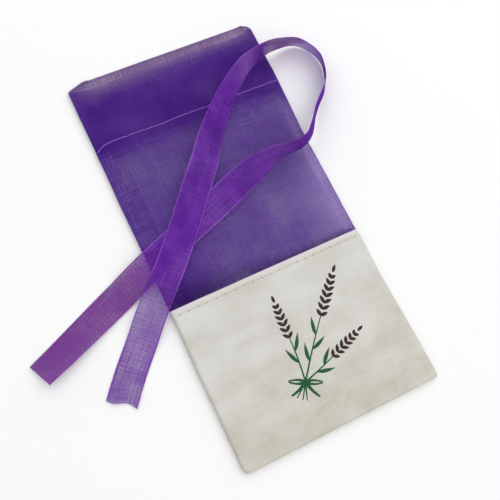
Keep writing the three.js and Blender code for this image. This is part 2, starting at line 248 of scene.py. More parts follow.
weave_inputs = [("Cut", VECTOR), ("Pitch", FLOAT), ("Wander", FLOAT), ("Ribs", FLOAT)]
weave, enter, leave = group_of("cloth_weave", weave_inputs, ["Height", "Cover", "Slub"])
drift = node(weave, "ShaderNodeTexNoise", {"Vector": enter["Cut"], "Scale": 0.35, "Detail": 2.0})
drift = vectors(weave, "SUBTRACT", drift.outputs["Color"], (0.5, 0.5, 0.5))
drift = node(weave, "ShaderNodeVectorMath", {0: drift, "Scale": enter["Wander"]}, operation="SCALE")
bent = vectors(weave, "ADD", enter["Cut"], drift.outputs[0])
places = node(weave, "ShaderNodeSeparateXYZ", {0: bent}).outputs
turns = sums(weave, "DIVIDE", math.pi, enter["Pitch"])
warp = sums(weave, "SINE", sums(weave, "MULTIPLY", places["X"], turns))
weft = sums(weave, "SINE", sums(weave, "MULTIPLY", places["Y"], turns))
over = spread(weave, sums(weave, "MULTIPLY", warp, weft), -0.6, 0.6)
warp, weft = sums(weave, "ABSOLUTE", warp), sums(weave, "ABSOLUTE", weft)
height = node(weave, "ShaderNodeMix", {0: over, 2: weft, 3: warp}, data_type="FLOAT")
weave.links.new(height.outputs[0], leave["Height"])
weave.links.new(spread(weave, sums(weave, "MAXIMUM", warp, weft), 0.45, 0.85), leave["Cover"])
streaks = []
for axis, stretch in (("X", (1.3, 0.035, 1.0)), ("Y", (0.035, 1.3, 1.0))):
    drawn = vectors(weave, "MULTIPLY", enter["Cut"], stretch)
    yarn = node(weave, "ShaderNodeTexNoise", {"Vector": drawn, "Scale": 1.0, "Detail": 3.0})
    thick = sums(weave, "SINE", sums(weave, "MULTIPLY", places[axis], math.pi / RIB_PITCH))
    thick = spread(weave, sums(weave, "ABSOLUTE", thick), 0.5, 1.0)
    thick = sums(weave, "MULTIPLY", thick, enter["Ribs"])
    streaks.append(sums(weave, "ADD", spread(weave, yarn.outputs["Fac"], 0.36, 0.74), thick))
weave.links.new(sums(weave, "MULTIPLY", sums(weave, "ADD", *streaks), 0.5), leave["Slub"])
print("weave group", len(weave.nodes), "nodes")

# %% [markdown]
# No cloth has one even tone. A second group gives soft clouds of tone, as on cloth that has been
# handled, and a third one marks the needle's holes along a sewn row.

# %% Make the tone and needle groups
tone, enter, leave = group_of("cloth_tone", [("Cut", VECTOR), ("Size", FLOAT)], ["Tone"])
fineness = sums(tone, "DIVIDE", 1.0, enter["Size"])
cloud = {"Vector": enter["Cut"], "Scale": fineness, "Detail": 4.0, "Roughness": 0.55}
cloud = node(tone, "ShaderNodeTexNoise", cloud).outputs["Fac"]
tone.links.new(spread(tone, cloud, 0.3, 0.7), leave["Tone"])

needle_inputs = [("Cut", VECTOR), ("Row", FLOAT), ("Hole", FLOAT)]
needle, enter, leave = group_of("needle_holes", needle_inputs, ["Mark"])
places = node(needle, "ShaderNodeSeparateXYZ", {0: enter["Cut"]}).outputs
along = sums(needle, "PINGPONG", places["X"], STITCH / 2)
away = sums(needle, "SUBTRACT", places["Y"], enter["Row"])
squares = sums(needle, "ADD", sums(needle, "POWER", along, 2.0), sums(needle, "POWER", away, 2.0))
reach = sums(needle, "DIVIDE", sums(needle, "SQRT", squares), enter["Hole"])
needle.links.new(sums(needle, "SUBTRACT", 1.0, spread(needle, reach, 0.3, 1.0)), leave["Mark"])
print("tone and needle groups ready")

# %% [markdown]
# The pocket is unbleached cotton: a warm off-white, darker and yellower towards the bottom, with a
# visible weave, faint yellowish clouds, soft slanting creases and a few dark specks of seed husk.
# Each of these is a share of one more colour that is mixed in, from the ground up to the join's
# needle holes. Painted shade darkens the creases, the gaps between the yarns, the side of the left
# fold and the needle holes, and painted light brightens the crests and the strip above the join.
# The weave and the creases also move the light a little through a bump.

# %% Make the cotton
def placed_group(tree, group, **inputs):
    return node(tree, "ShaderNodeGroup", inputs, node_tree=group).outputs


def mixed(tree, share, first, second):
    made = node(tree, "ShaderNodeMix", {0: share}, data_type="RGBA")
    for index, colour in ((6, first), (7, second)):
        feed(tree, made.inputs[index], (*colour, 1) if isinstance(colour, (list, tuple)) else colour)
    return made.outputs[2]


def bumped(tree, shader, height, depth, strength=1.0):
    relief = {"Height": height, "Distance": depth * MM, "Strength": strength}
    tree.links.new(node(tree, "ShaderNodeBump", relief).outputs[0], shader.inputs["Normal"])


def cut_place(tree):
    return node(tree, "ShaderNodeUVMap", uv_map="cut").outputs[0]


def cotton_yarns(tree, cut):
    return placed_group(tree, weave, Cut=cut, Pitch=0.52, Wander=0.9)


cotton, tree, shader = new_material("unbleached_cotton", 0.9, Specular_IOR_Level=0.2, Sheen_Weight=0.1)
cut = cut_place(tree)
across_cloth, up_cloth, _ = node(tree, "ShaderNodeSeparateXYZ", {0: cut}).outputs
yarns = cotton_yarns(tree, cut)
clouds = placed_group(tree, tone, Cut=cut, Size=17.0)["Tone"]
flecks = placed_group(tree, tone, Cut=cut, Size=3.2)["Tone"]
slant = {"Vector": cut, "Rotation": (0, 0, 0.8), "Scale": (0.45, 1.3, 1.0)}
slanted = node(tree, "ShaderNodeMapping", slant).outputs[0]
creases_and_shade = placed_group(tree, tone, Cut=slanted, Size=14.0)["Tone"]
holes_and_shade = placed_group(tree, needle, Cut=cut, Row=JOIN_ROW, Hole=0.5)["Mark"]
specks = node(tree, "ShaderNodeTexNoise", {"Vector": cut, "Scale": 0.9, "Detail": 1.0}).outputs["Fac"]
# The ground colour is darker and yellower towards the bottom.
upper_tone = mixed(tree, clouds, (0.625, 0.612, 0.562), (0.705, 0.700, 0.676))
lower_tone = mixed(tree, clouds, (0.535, 0.495, 0.402), (0.662, 0.636, 0.562))
colour = mixed(tree, spread(tree, up_cloth, BOTTOM, JOIN - 8), lower_tone, upper_tone)
cotton_tints = {
    "pale flecks": (sums(tree, "MULTIPLY", flecks, 0.3), (0.70, 0.69, 0.66)),
    "thick yarns": (sums(tree, "MULTIPLY", yarns["Slub"], 0.35), (0.72, 0.70, 0.65)),
    # Painted shade in the creases and painted light on their crests.
    "creases_and_shade": (spread(tree, creases_and_shade, 0.50, 1.0, 0.0, 0.34), (0.54, 0.515, 0.45)),
    "crest light": (spread(tree, creases_and_shade, 0.0, 0.45, 0.40, 0.0), (0.75, 0.745, 0.72)),
    # Painted shade on the side of the left fold.
    "left fold shade": (spread(tree, across_cloth, -HALF - 0.4, -HALF + 1.6, 0.55, 0.0), (0.44, 0.40, 0.38)),
    # Painted shade in the gaps between the yarns.
    "gap shade": (spread(tree, yarns["Height"], 0.0, 0.6, 0.22, 0.0), (0.42, 0.40, 0.35)),
    "husks": (spread(tree, specks, 0.76, 0.82, 0.0, 0.45), (0.33, 0.27, 0.17)),
    # Painted light, bounced up from the organza, on the strip above the join.
    "top strip light": (spread(tree, up_cloth, JOIN_ROW + 0.5, JOIN - 0.4, 0.0, 0.85), (0.77, 0.705, 0.725)),
    # Painted shade in the needle holes.
    "holes_and_shade": (sums(tree, "MULTIPLY", holes_and_shade, 0.75), (0.22, 0.19, 0.12)),
}
for share, tint in cotton_tints.values():
    colour = mixed(tree, share, colour, tint)
tree.links.new(colour, shader.inputs["Base Color"])
relief = sums(tree, "SUBTRACT", yarns["Height"], sums(tree, "MULTIPLY", holes_and_shade, 2.0))
relief = sums(tree, "SUBTRACT", relief, sums(tree, "MULTIPLY", creases_and_shade, 5.0))
bumped(tree, shader, relief, 0.06, 0.7)
print("cotton with", ", ".join(cotton_tints))

# %% [markdown]
# The sheer top is organza, an open weave of thin yarns. Part of the light passes between the yarns,
# so each layer is made partly clear, and where more layers lie on each other the purple gets deeper
# by itself. Three numbers kept on the mesh help. "clear" thins the cloth, or fills it where it is
# negative. "catch" marks where the cloth catches the lamp. "glow" marks where light comes up through
# it from the white table and warms its colour, and a negative one is shade.

# %% Make the organza and the ribbon's cloth
TONE_LAYERS = ("clear", "catch", "glow")
LEAST_LIT = 0.02


def carried(tree, name):
    made = node(tree, "ShaderNodeAttribute", attribute_name=name, attribute_type="GEOMETRY")
    return made.outputs["Fac"]


def sheer_cloth(name, deep, bright, warm, streak, cloud_size, cover, roughness):
    made, tree, shader = new_material(name, roughness, Specular_IOR_Level=0.0)
    cut = cut_place(tree)
    clear, catch, glow = (carried(tree, label) for label in TONE_LAYERS)
    yarns = placed_group(tree, weave, Cut=cut, Pitch=0.75, Wander=0.5, Ribs=0.35)
    clouds = placed_group(tree, tone, Cut=cut, Size=cloud_size)["Tone"]
    lit = sums(tree, "ADD", spread(tree, yarns["Slub"], 0.25, 1.05, 0.0, streak), catch)
    lit = node(tree, "ShaderNodeClamp", {0: lit, 1: LEAST_LIT}).outputs[0]
    shaded = node(tree, "ShaderNodeClamp", {0: sums(tree, "MULTIPLY", glow, -1.0)}).outputs[0]
    colour = mixed(tree, clouds, deep, [0.82 * d + 0.18 * b for d, b in zip(deep, bright)])
    colour = mixed(tree, lit, colour, bright)
    colour = mixed(tree, glow, colour, warm)
    colour = mixed(tree, shaded, colour, [0.2 * d for d in deep])
    tree.links.new(colour, shader.inputs["Base Color"])
    filled = sums(tree, "MULTIPLY", yarns["Cover"], 0.36 * cover)
    filled = sums(tree, "ADD", filled, spread(tree, yarns["Slub"], 0.2, 1.0, 0.0, 0.42 * cover))
    filled = sums(tree, "ADD", filled, spread(tree, clouds, 0.0, 1.0, 0.46 * cover, 0.74 * cover))
    filled = sums(tree, "MULTIPLY", filled, sums(tree, "SUBTRACT", 1.0, clear))
    tree.links.new(filled, shader.inputs["Alpha"])
    rough = spread(tree, yarns["Height"], 0.0, 1.0, roughness + 0.12, roughness - 0.06)
    tree.links.new(rough, shader.inputs["Roughness"])
    bumped(tree, shader, yarns["Height"], 0.03, 0.5)
    return made


organza = sheer_cloth(
    "purple_organza", deep=(0.078, 0.010, 0.300), bright=(0.35, 0.21, 0.60), warm=(0.30, 0.17, 0.38),
    streak=0.30, cloud_size=20.0, cover=0.33, roughness=0.5,
)
ribbon_cloth = sheer_cloth(
    "ribbon_organza", deep=(0.136, 0.019, 0.370), bright=(0.36, 0.14, 0.64), warm=(0.270, 0.072, 0.285),
    streak=0.15, cloud_size=11.0, cover=0.56, roughness=0.45,
)
print("sheer cloths ready")

# %% [markdown]
# A sewn panel starts as a flat cut with an allowance on every side, and the allowances are folded
# under. A grid is the flat cut, a few extra cuts put edges where it will bend, and a map keeps each
# point's place on the cut, so the weave follows the cloth round its folds. A fold is half an oval,
# given by its radius and its drop, and what lies past it runs back below.

# %% Cut flat cloth and fold it
ROW_CUT = 0.3


def mark_cut(bm):
    layer = bm.loops.layers.uv.new("cut")
    for face in bm.faces:
        face.smooth = True
        for loop in face.loops:
            loop[layer].uv = loop.vert.co.xy


def flat_cut(left, right, low, high, cell, bends_across, bends_along):
    bm = bmesh.new()
    columns, rows = round((right - left) / cell), round((high - low) / cell)
    bmesh.ops.create_grid(bm, x_segments=columns, y_segments=rows, size=0.5)
    bmesh.ops.scale(bm, vec=(right - left, high - low, 1), verts=bm.verts)
    bmesh.ops.translate(bm, vec=((left + right) / 2, (low + high) / 2, 0), verts=bm.verts)
    cuts = [((at, 0, 0), (1, 0, 0)) for at in bends_across]
    cuts += [((0, at, 0), (0, 1, 0)) for at in bends_along]
    for point, direction in cuts:
        everything = bm.verts[:] + bm.edges[:] + bm.faces[:]
        bmesh.ops.bisect_plane(bm, geom=everything, dist=1e-4, plane_co=point, plane_no=direction)
    mark_cut(bm)
    return bm


def turn_length(radius, drop):
    return math.pi * math.sqrt((radius**2 + (drop / 2) ** 2) / 2)


def fold(distance, edge, radius, drop):
    start, turn = edge - radius, turn_length(radius, drop)
    if distance <= start:
        return distance, 0.0
    angle = math.pi * (distance - start) / turn
    if angle < math.pi:
        return start + radius * math.sin(angle), (1 - math.cos(angle)) / 2
    return start - (distance - start - turn), 1.0


def cut_reach(edge, radius, drop, allowance):
    return edge - 2 * radius + turn_length(radius, drop) + allowance


def bend_lines(edge, radius, drop, count=9):
    start, turn = edge - radius, turn_length(radius, drop)
    return [start + turn * i / (count - 1) for i in range(count)]


def row_lines(row, count):
    return [row + ROW_CUT * i for i in range(-count, count + 1)]


def both_sides(places):
    return [side * at for side in (-1, 1) for at in places]


def eased(value):
    share = min(max(value, 0.0), 1.0)
    return share * share * (3 - 2 * share)


def bell(distance, reach):
    return math.exp(-((distance / reach) ** 2))


def ripple(x, y, size, seed):
    return noise.noise(Vector((x / size, y / size, seed)))


def stitch_wave(x):
    return math.cos(2 * math.pi * x / STITCH)


def rounded_corner(x, y, side, end_x, end_y, end, radius):
    out_x = side * (x - end_x) + radius
    out_y = end * (y - end_y) + radius
    if out_x <= 0 or out_y <= 0:
        return x, y
    pull = max(out_x, out_y) / math.hypot(out_x, out_y)
    return end_x + side * (out_x * pull - radius), end_y + end * (out_y * pull - radius)


def side_shift(x, y):
    wander = 0.30 * noise.noise(Vector((y / 31, 0.3, 2.0)))
    wander += 0.10 * noise.noise(Vector((y / 9, 0.7, 5.0)))
    drawn_in = 0.0
    if x > 0:
        drawn_in = 1.2 * eased((y - BOTTOM) / 60) * (1 - eased((y - JOIN - 44) / 40))
    return (wander * abs(x) - drawn_in * x) / HALF


POCKET_SIDE, POCKET_JOIN = (1.1, 1.0), (0.55, 0.6)
print("a pocket side fold uses", round(turn_length(*POCKET_SIDE), 2), "mm of cloth")

# %% [markdown]
# The pocket's two cotton panels are turned in at the sides, the bottom and the join. The front one
# is crowned by the buds inside, dips along the join's stitches and puffs up between them and the
# folded edge; the back one lies flat on the table. Each leaf has its own share of the depth from the
# seam, so folded layers never share a place.

# %% Fold the pocket's panels
COTTON_THICK, COTTON_CELL = 0.36, 0.9
FRONT_DEPTH, BACK_DEPTH = 1.25, 1.15
CROWN, BACK_SWELL = 0.90, 0.35
SIDE_LEAF, BOTTOM_LEAF, JOIN_LEAF, POCKET_CORNER_LEAF = 0.22, 0.22, 0.58, 0.42
LEFT_CORNER, RIGHT_CORNER = 2.0, 1.0


def leaf_share(across, along, under, corner):
    leaf = (1 - across) * (1 - along) + across * (1 - along) * SIDE_LEAF + (1 - across) * along * under
    return leaf + across * along * corner


def pocket_depth(face, x, y):
    if face == BACK:
        return BACK_DEPTH + BACK_SWELL * eased((HALF - abs(x)) / 5) * eased((y - BOTTOM) / 5)
    side = eased((HALF - abs(x)) / 13)
    foot, head = eased((y - BOTTOM) / 13), eased((JOIN - y) / 9)
    crown = CROWN * side * foot * (0.3 + 0.7 * head)
    lumps = 0.40 * ripple(x, y, 17, 1.0) + 0.12 * ripple(x, y, 7, 3.0)
    lumps += 0.62 * ripple(0.35 * (x + y), 1.5 * (y - 0.6 * x), 15, 5.0)
    sewn = bell(y - JOIN_ROW, 0.8) * (0.12 + 0.06 * stitch_wave(x))
    puff = 0.12 * bell(y - (JOIN + JOIN_ROW) / 2 - 0.2, 0.9)
    pulls = 0.06 * stitch_wave(x) * math.exp(-(abs(y - JOIN_ROW + 2.0) / 2.2))
    return FRONT_DEPTH + crown + lumps * (0.25 + 0.75 * side * foot) - sewn + puff - pulls


def pocket_place(face, u, v, out=0.0):
    x, across = fold(abs(u), HALF, *POCKET_SIDE)
    if v < 0:
        y, along = fold(-v, -BOTTOM, *POCKET_SIDE)
        y, under = -y, BOTTOM_LEAF
    else:
        y, along = fold(v, JOIN, *POCKET_JOIN)
        under = JOIN_LEAF
    side = math.copysign(1, u)
    radius = LEFT_CORNER if u < 0 else RIGHT_CORNER
    x, y = rounded_corner(side * x, y, side, side * HALF, BOTTOM, -1, radius)
    depth = pocket_depth(face, x, y) * leaf_share(across, along, under, POCKET_CORNER_LEAF)
    return Vector((x + side_shift(x, y), y, SEAM_Z + face * (depth + out)))


def finished(name, bm, material, thickness=0.0):
    bmesh.ops.scale(bm, vec=(MM, MM, MM), verts=bm.verts)
    mesh = bpy.data.meshes.new(name)
    bm.to_mesh(mesh)
    bm.free()
    mesh.materials.append(material)
    made = new_object(name, mesh)
    if thickness:
        wall = made.modifiers.new("wall", "SOLIDIFY")
        wall.thickness = thickness * MM
        wall.offset = 0.0
    print(name, len(mesh.vertices), "points", len(mesh.polygons), "faces")
    return made


def pocket_panel(face, name):
    left = -cut_reach(HALF, *POCKET_SIDE, LEFT_ALLOWANCE)
    right = cut_reach(HALF, *POCKET_SIDE, RIGHT_ALLOWANCE)
    low = -cut_reach(-BOTTOM, *POCKET_SIDE, BOTTOM_ALLOWANCE)
    high = cut_reach(JOIN, *POCKET_JOIN, JOIN_ALLOWANCE)
    across = both_sides(bend_lines(HALF, *POCKET_SIDE))
    along = [-at for at in bend_lines(-BOTTOM, *POCKET_SIDE)] + bend_lines(JOIN, *POCKET_JOIN)
    along += row_lines(JOIN_ROW, 5)
    bm = flat_cut(left, right, low, high, COTTON_CELL, across, along)
    for vert in bm.verts:
        vert.co = pocket_place(face, vert.co.x, vert.co.y)
    made = finished(name, bm, cotton, COTTON_THICK)
    return made, ((right - left) * MM, (high - low) * MM)


pocket_front, pocket_cut = pocket_panel(FRONT, "pocket_front_cloth")
pocket_back, _ = pocket_panel(BACK, "pocket_back_cloth")
print("pocket cut", [round(side / MM, 1) for side in pocket_cut], "mm")

# %% [markdown]
# The sheer top is folded the same way, with a deep hem turned in at the mouth. It comes out from
# under the cotton, lies nearly flat with slow waves, and its front lip ends short of the back one,
# so that the inside of the back shows as a paler band, made paler still by painted light from the
# table. The lips rise or fall towards their ends. The cloth is thinned where its allowances lie
# doubled inside, and it has broad patches of painted shade.

# %% Fold the sheer top
SHEER_SIDE, SHEER_LIP = (0.8, 1.0), (0.4, 0.45)
SHEER_THICK, SHEER_CELL = 0.12, 1.1
HEM_LEAF, SHEER_CORNER_LEAF = 0.70, 0.45
TUCKED_DEPTH, EDGE_DEPTH = 0.55, 0.70
MIDDLE_SWELL = {FRONT: 0.70, BACK: 0.45}
MOUTH_CORNER = 0.8
# The rise of each lip's end, and the length over which it rises.
LIP_SLOPE = {
    (FRONT, -1): (2.4, 9.0), (FRONT, 1): (2.6, 8.0),
    (BACK, -1): (-2.4, 7.5), (BACK, 1): (-2.0, 3.6),
}
# Place across, place above the join, width, height and amount.
SHADE_PATCHES = [
    (-30, 37, 9, 10, 1.6), (-31, 8, 9, 9, 2.2), (-21, 50, 12, 12, 1.3),
    (26, 52, 9, 9, 0.6), (20, 21, 11, 11, -0.6),
]


def patch(place, x, up, wide, high):
    return math.exp(-(((place.x - x) / wide) ** 2) - ((place.y - JOIN - up) / high) ** 2)


def seam_height(y):
    return SEAM_Z - 0.30 * eased((y - JOIN) / 14)


def sheer_depth(face, x, y):
    flat = EDGE_DEPTH + MIDDLE_SWELL[face] * eased((HALF - abs(x)) / 9)
    rise = TUCKED_DEPTH + (flat - TUCKED_DEPTH) * eased((y - JOIN - 0.3) / 7)
    waves = 0.22 * ripple(x, 0.7 * y, 21, 7.0) + 0.08 * ripple(x, y, 8, 9.0)
    waves *= eased((HALF - abs(x)) / 9) * eased((y - JOIN) / 12)
    if face == BACK:
        return rise + 0.3 * min(waves, 0.0)
    sewn = 0.14 * bell(y - HEM_ROW[face], 0.8) * (1 + 0.5 * stitch_wave(x))
    parted = 0.55 * eased((y - MOUTH[face] + 22) / 22) * (1 - (x / HALF) ** 2)
    return rise + waves - sewn + parted


def sheer_place(face, u, v, out=0.0):
    x, across = fold(abs(u), HALF, *SHEER_SIDE)
    y, along = fold(v - JOIN, MOUTH[face] - JOIN, *SHEER_LIP)
    side = int(math.copysign(1, u))
    x, y = rounded_corner(side * x, y + JOIN, side, side * HALF, MOUTH[face], 1, MOUTH_CORNER)
    depth = sheer_depth(face, x, y) * leaf_share(across, along, HEM_LEAF, SHEER_CORNER_LEAF)
    z = seam_height(y) + face * (depth + out)
    rise, run = LIP_SLOPE[face, side]
    y += rise * min(max((abs(x) - HALF + run) / run, 0.0), 1.0) * eased((y - MOUTH[face] + 25) / 25)
    return Vector((x + side_shift(x, y), y, z))


def sheer_tone(face, u, v, place):
    hem, near_lip = HEM_ROW[face], place.y - MOUTH[FRONT]
    # What is turned in at a side is thinned, most towards its raw edge.
    allowance = LEFT_ALLOWANCE if u < 0 else RIGHT_ALLOWANCE
    turned_in = eased((abs(u) - HALF + 0.4) / 0.8) * (0.68 + 0.28 * eased((abs(u) - HALF) / allowance))
    # Broad shade, the light from the right below the hem, and the shade beside the join.
    shade = sum(amount * patch(place, *where) for *where, amount in SHADE_PATCHES)
    below_hem = eased((hem - 5 - place.y) / 22)
    at_right = eased((u - HALF + 8) / 7) * eased((hem - 7 - place.y) / 6)
    at_right *= 1 - 0.9 * eased((JOIN + 34 - place.y) / 18)
    towards_lamp = below_hem * eased((u - 17) / 25) * (0.16 + 0.84 * eased((JOIN + 55 - place.y) / 42))
    join_shade = 3.5 + 8.0 * (1 - eased((u + 30) / 50))
    under_join = eased((JOIN + join_shade - place.y) / join_shade)
    thin = turned_in - 0.28 * shade - 0.50 * under_join + 0.24 * towards_lamp + 0.16 * at_right
    lit = 0.36 * below_hem * eased((u - HALF + 5.0) / 2.0) + 0.50 * towards_lamp - 0.12 * under_join
    lit += 0.22 * at_right - 0.06 * shade - 0.25 * eased((place.y - hem + 6) / 5)
    # The turned-in hem ends in an uneven raw edge.
    if v > MOUTH[face]:
        frayed = hem - place.y + 1.6 * ripple(place.x, 0.0, 9, 6.0) + 1.8 * eased(u / 30)
        worn_edge = eased((frayed - 4.8) / 2.6)
        thin += 0.85 * worn_edge - 0.9 * (1 - worn_edge) * eased(frayed / 0.8) * (1 - turned_in)
    # Light comes up beside the lips. The larger value counts, so shade never fills the weave.
    if face == BACK:
        thin = max(thin, 0.21 * eased((near_lip + 3) / 5))
        warm = 0.7 * eased((near_lip + 2) / 4)
    else:
        inward = 0.35 + 0.65 * eased((u + HALF - 2) / 9)
        lip = inward * eased((near_lip + 8) / 8)
        thin = max(thin, 0.62 * lip)
        lit += 0.10 * (1 - eased((u + HALF - 7) / 5)) * below_hem
        lit += 0.30 * inward * eased((near_lip + 12) / 12)
        warm = 0.45 * lip * (1 - 0.6 * eased((u + 20) / 40)) - 0.62 * under_join
        # The corner at the join's left end is filled, and darkened with painted shade.
        corner = patch(place, -30, 5, 8, 9)
        thin -= 0.75 * corner * (1 - eased((abs(u) - HALF) / 2))
        warm -= 0.16 * corner
    # Cloth that is seen edge-on along a fold is dense.
    fold_line = bell(abs(u) - HALF - 0.5, 0.6)
    if face == BACK:
        fold_line = max(fold_line, bell(v - MOUTH[face] - 0.2, 0.6))
    return thin * (1 - fold_line) - 0.9 * fold_line, lit * (1 - fold_line), warm


def tone_layers(bm):
    return [bm.verts.layers.float.new(name) for name in TONE_LAYERS]


def sheer_panel(face, name):
    hem_depth = MOUTH[face] - HEM_ROW[face] + HEM_ALLOWANCE[face]
    left = -cut_reach(HALF, *SHEER_SIDE, LEFT_ALLOWANCE)
    right = cut_reach(HALF, *SHEER_SIDE, RIGHT_ALLOWANCE)
    low = JOIN - TUCK
    high = JOIN + cut_reach(MOUTH[face] - JOIN, *SHEER_LIP, hem_depth)
    across = both_sides(bend_lines(HALF, *SHEER_SIDE))
    along = [JOIN + at for at in bend_lines(MOUTH[face] - JOIN, *SHEER_LIP)]
    along += row_lines(HEM_ROW[face], 4)
    bm = flat_cut(left, right, low, high, SHEER_CELL, across, along)
    clear, catch, glow = tone_layers(bm)
    for vert in bm.verts:
        u, v = vert.co.x, vert.co.y
        place = sheer_place(face, u, v)
        vert[clear], vert[catch], vert[glow] = sheer_tone(face, u, v, place)
        vert.co = place
    made = finished(name, bm, organza, SHEER_THICK)
    return made, ((right - left) * MM, (high - low) * MM)


sheer_front, sheer_front_cut = sheer_panel(FRONT, "sheer_front_cloth")
sheer_back, sheer_back_cut = sheer_panel(BACK, "sheer_back_cloth")
print("sheer cuts", [round(side / MM, 1) for side in (*sheer_front_cut, *sheer_back_cut)], "mm")

# %% [markdown]
# Sewing thread is a fine twisted cord. Each stitch comes up through its needle hole, lies along the
# cloth and dives again, so a row is one wavy line given a round section. The twist is drawn by the
# material, as stripes that run round the thread at a slant.

# %% Make the threads
FINE_THREAD, HEM_THREAD = 0.25, 0.42
TWISTS = 260.0
ROW_POINTS, SIDE_POINTS = 360, 480
ROW_END = HALF - 1.5


def thread_material(name, colour, shade):
    made, tree, shader = new_material(name, 0.7, Specular_IOR_Level=0.15)
    round_about = node(tree, "ShaderNodeUVMap", uv_map="UVMap").outputs[0]
    along, around, _ = node(tree, "ShaderNodeSeparateXYZ", {0: round_about}).outputs
    slant = sums(tree, "ADD", sums(tree, "MULTIPLY", along, TWISTS), around)
    twist = sums(tree, "ABSOLUTE", sums(tree, "SINE", sums(tree, "MULTIPLY", slant, 2 * math.pi)))
    tree.links.new(mixed(tree, twist, shade, colour), shader.inputs["Base Color"])
    bumped(tree, shader, twist, 0.03)
    return made


lilac_thread = thread_material("lilac_thread", (0.34, 0.20, 0.62), (0.22, 0.11, 0.46))
beige_thread = thread_material("beige_thread", (0.58, 0.52, 0.38), (0.40, 0.34, 0.23))


def thread_row(name, points, diameter, material):
    line = bpy.data.curves.new(name, "CURVE")
    line.dimensions = "3D"
    line.bevel_depth = diameter / 2 * MM
    line.bevel_resolution = 1
    line.use_fill_caps = True
    spline = line.splines.new("POLY")
    spline.points.add(len(points) - 1)
    for knot, place in zip(spline.points, points):
        knot.co = (*(place * MM), 1)
    drawn = bpy.data.objects.new(name, line)
    mesh = bpy.data.meshes.new_from_object(drawn)
    mesh.name = name
    bpy.data.objects.remove(drawn)
    bpy.data.curves.remove(line)
    mesh.shade_smooth()
    mesh.materials.clear()
    mesh.materials.append(material)
    made = new_object(name, mesh)
    print(name, len(points), "points", len(mesh.polygons), "faces")
    return made


def stitch_lift(distance):
    share = (distance / STITCH) % 1.0
    return eased(min(share, 1 - share) / 0.13)


across_row = [-ROW_END + 2 * ROW_END * i / ROW_POINTS for i in range(ROW_POINTS + 1)]
print("threads ready,", round(2 * ROW_END / STITCH), "stitches across")

# %% [markdown]
# Four rows show: the join's beige stitches on both sides, and the hem's lilac ones. Two side seams
# and the bottom seam are hidden inside, where the thread zigzags between the turned-in allowances of
# the front and the back.

# %% Sew the rows
HEM_LIFT = {FRONT: 0.34, BACK: 0.26}
HEM_CURL, CURL_REACH = 1.6, 4.5
SEAM_SWING, INSIDE_EDGE = 0.34, 0.3


def join_row(face, name):
    points = []
    for x in across_row:
        rise = -0.30 + 0.42 * stitch_lift(x)
        sway = 0.10 * noise.noise(Vector((x / 5, 0.2, face)))
        points.append(pocket_place(face, x, JOIN_ROW + sway, rise))
    return thread_row(name, points, FINE_THREAD, beige_thread)


def hem_row(face, name):
    points = []
    for at in across_row:
        x = at * (HALF - 0.5) / ROW_END
        rise = -0.16 + HEM_LIFT[face] * stitch_lift(x)
        sway = 0.4 * noise.noise(Vector((x / 13, 0.4, face)))
        sway += 0.3 * noise.noise(Vector((x / 3, 0.9, face)))
        if face == FRONT:
            sway -= HEM_CURL * max(0.0, (-x - ROW_END + CURL_REACH) / CURL_REACH) ** 2
        points.append(sheer_place(face, x, HEM_ROW[face] + sway, rise))
    return thread_row(name, points, HEM_THREAD, lilac_thread)


def seam_swing(distance):
    return SEAM_SWING * math.cos(math.pi * distance / STITCH)


def side_row(side, name):
    low, high = BOTTOM + 2.4, MOUTH[FRONT] - 1.5
    x = side * (SIDE_SEAM - INSIDE_EDGE)
    points = []
    for i in range(SIDE_POINTS + 1):
        y = low + (high - low) * i / SIDE_POINTS
        z = SEAM_Z if y < JOIN else seam_height(y)
        points.append(Vector((x + side_shift(x, y), y, z + seam_swing(y))))
    return thread_row(name, points, FINE_THREAD, lilac_thread)


front_join = join_row(FRONT, "front_join_stitches")
back_join = join_row(BACK, "back_join_stitches")
front_hem = hem_row(FRONT, "front_hem_stitches")
back_hem = hem_row(BACK, "back_hem_stitches")
left_seam = side_row(-1, "left_seam_stitches")
right_seam = side_row(1, "right_seam_stitches")
bottom_points = [Vector((x, BOTTOM_ROW + INSIDE_EDGE, SEAM_Z + seam_swing(x))) for x in across_row]
bottom_seam = thread_row("bottom_seam_stitches", bottom_points, FINE_THREAD, beige_thread)

# %% [markdown]
# The front carries a plain two-colour print of lavender tied with a bow. Each leaf, stem and bud is
# one stroke: a strip of grid cells narrowed to its outline, bent, and laid on the cotton's own
# surface with a thin skin of ink. Screen ink sits on the tops of the yarns, so the weave shows
# through it.

# %% Draw the print
INK_THICK, STROKE_STEP = 0.03, 0.7
GREEN_LIFT, PLUM_LIFT = 0.05, 0.07
STEM_WIDE, STEM_END, LEAF_LONG, LEAF_WIDE = 0.7, 7.0, 7.5, 1.5
TIE = Vector((0, 0, 0))
PRINT_PLACE = Matrix.Translation((-7.0, JOIN - 46.5, 0)) @ Matrix.Rotation(math.radians(-26), 4, "Z")


def ink_material(name, colour, worn):
    made, tree, shader = new_material(name, 0.75, Specular_IOR_Level=0.25)
    cut = cut_place(tree)
    yarns = cotton_yarns(tree, cut)
    clouds = placed_group(tree, tone, Cut=cut, Size=3.0)["Tone"]
    dry = sums(tree, "MULTIPLY", spread(tree, yarns["Height"], 0.0, 0.45, 0.55, 0.0), clouds)
    tree.links.new(mixed(tree, dry, colour, worn), shader.inputs["Base Color"])
    bumped(tree, shader, yarns["Height"], 0.05, 0.6)
    return made


plum_ink = ink_material("plum_ink", (0.042, 0.018, 0.030), (0.20, 0.16, 0.17))
green_ink = ink_material("green_ink", (0.012, 0.105, 0.036), (0.10, 0.20, 0.12))


def leaf_outline(share):
    return max(0.07, math.sin(math.pi * share**0.8))


def bud_outline(share):
    return max(0.16, math.sin(math.pi * (0.12 + 0.84 * share)))


def stem_outline(share):
    return 1.0 - 0.45 * share


